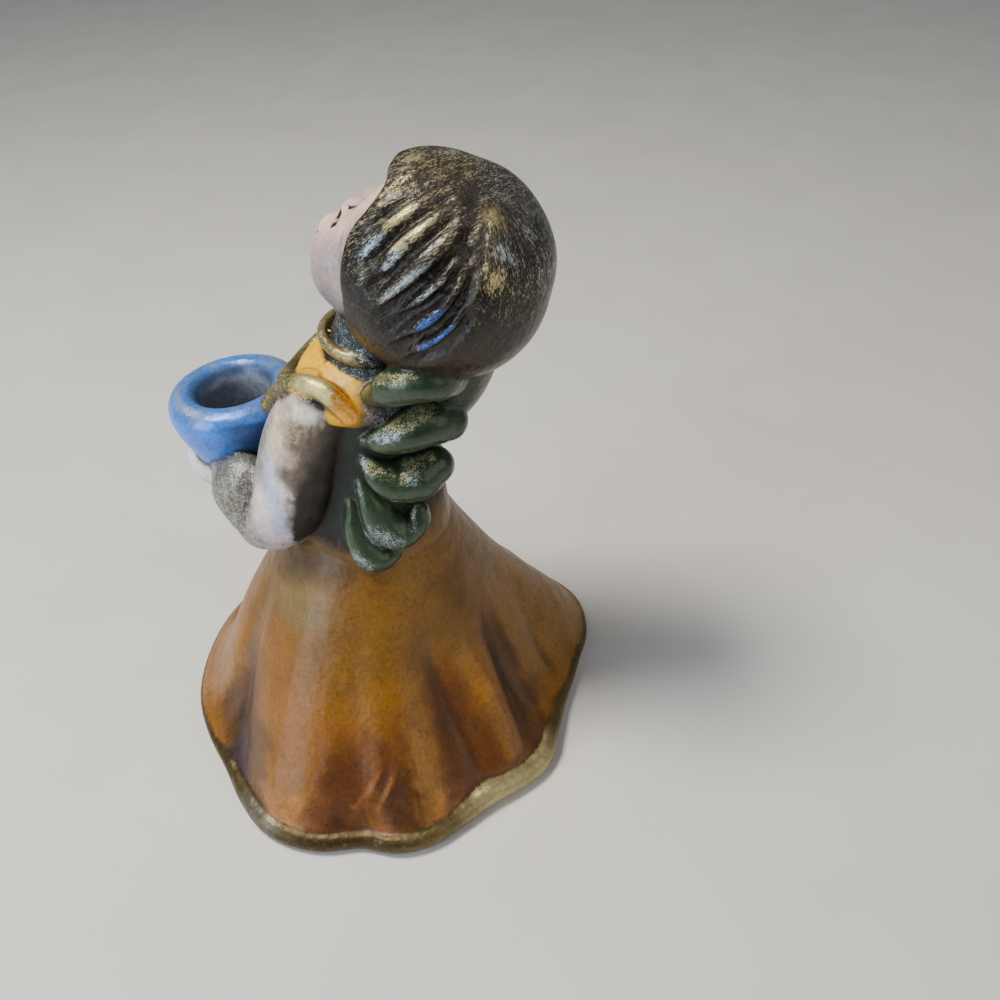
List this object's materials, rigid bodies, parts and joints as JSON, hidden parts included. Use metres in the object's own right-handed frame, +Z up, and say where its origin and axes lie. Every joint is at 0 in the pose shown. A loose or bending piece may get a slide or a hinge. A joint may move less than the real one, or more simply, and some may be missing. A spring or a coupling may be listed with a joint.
{
  "type": "angel candleholder",
  "caption": "Glazed ceramic angel figurine with a hollow bell skirt and folded wings, holding out a round cup that is the socket for a small tree candle.",
  "frame": {"origin": "on the surface it stands on, in the middle of the hem's outline box", "axes": "+Z up, the figure faces -Y, its left hand is on +X"},
  "size_m": [0.0944, 0.0862, 0.1236],
  "materials": {
    "painted_clay": "fired clay, amber glaze on the skirt, metallic hem, collar and hair, green wings, blue cup, matt white sleeves and skin"
  },
  "bodies": {
    "root": {"angel": "painted_clay"}
  },
  "joints": []
}
